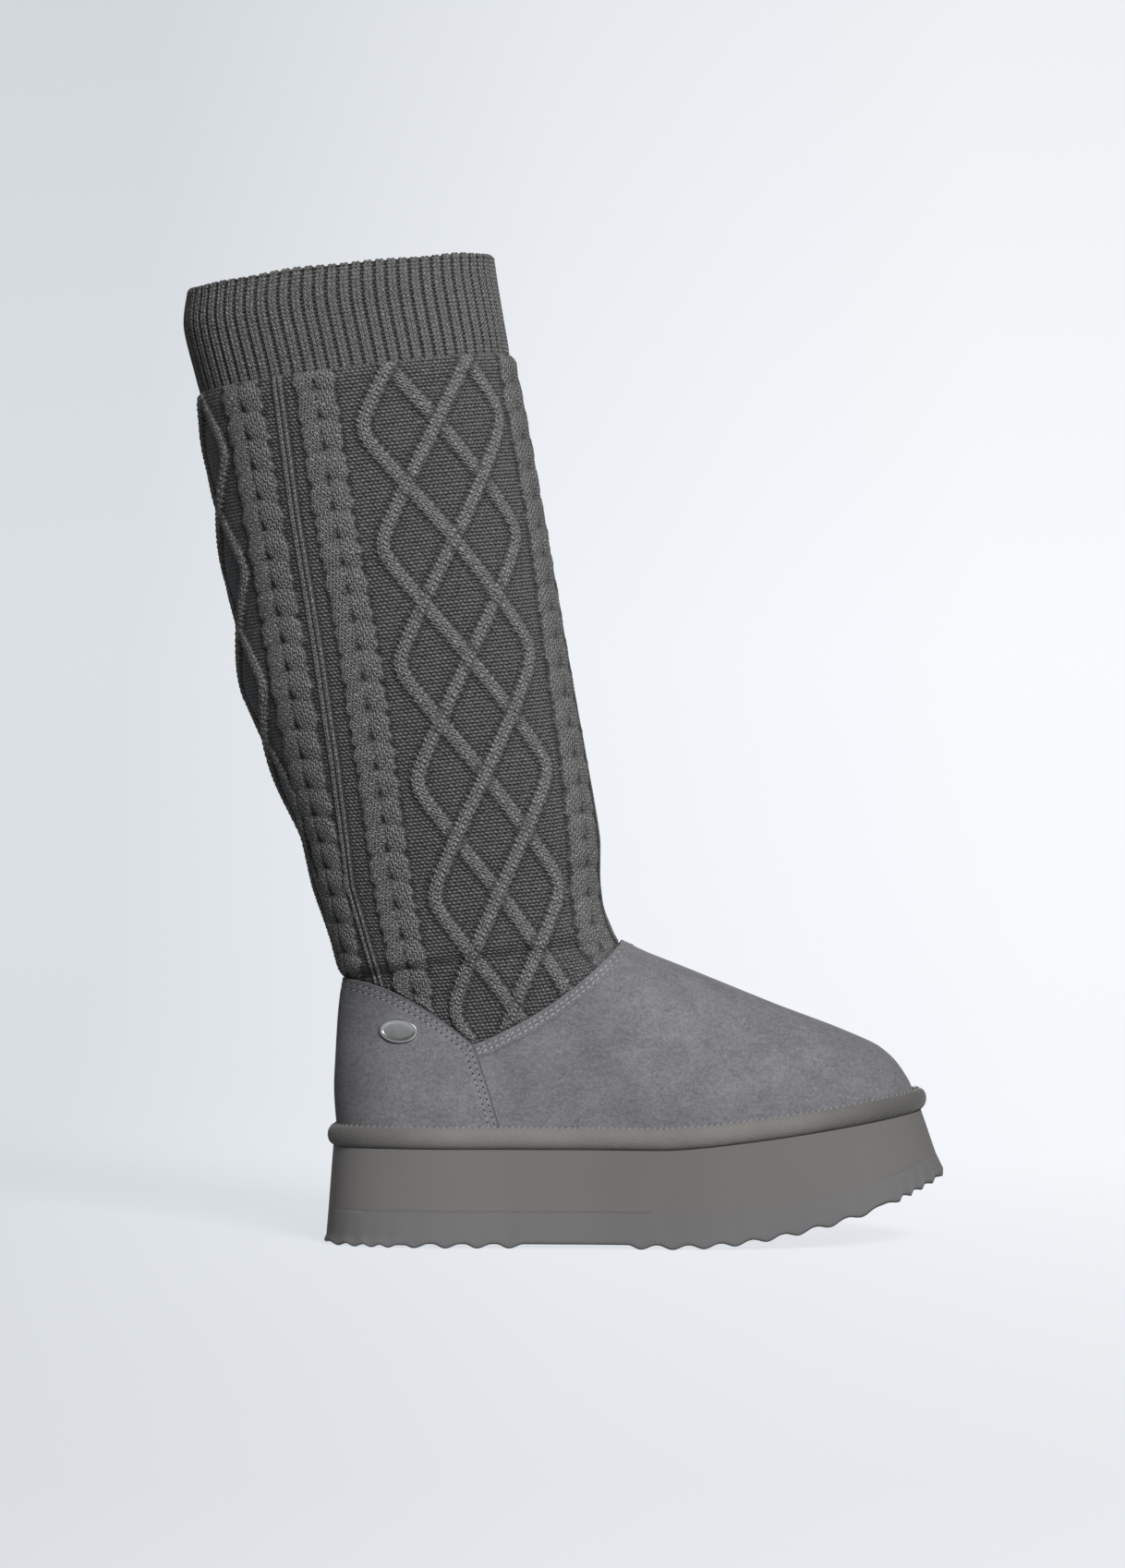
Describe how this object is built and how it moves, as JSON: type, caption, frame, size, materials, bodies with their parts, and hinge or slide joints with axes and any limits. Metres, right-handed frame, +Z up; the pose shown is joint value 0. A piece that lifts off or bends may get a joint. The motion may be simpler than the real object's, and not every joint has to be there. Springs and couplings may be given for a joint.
{
  "type": "sweater boot",
  "caption": "Tall cable-knit boot for the right foot, with a suede shoe on a thick platform sole and a ribbed collar, open at the top.",
  "frame": {"origin": "on the floor, at the middle of the flat pad under the heel", "axes": "+X towards the toe, +Z up, -Y towards the outer side of this right boot"},
  "size_m": [0.338, 0.1128, 0.4388],
  "materials": {
    "outsole": "matt moulded rubber",
    "midsole": "satin moulded foam rubber",
    "footbed": "felted wool",
    "suede": "brushed suede",
    "tape": "woven cotton tape",
    "knit": "heather wool knit",
    "badge_metal": "satin metal"
  },
  "bodies": {
    "root": {"outsole": "outsole", "midsole": "midsole", "insole": "footbed", "upper": "suede", "heel_counter": "suede", "welt": "tape", "knit_shaft": "knit", "badge": "badge_metal"}
  },
  "joints": []
}
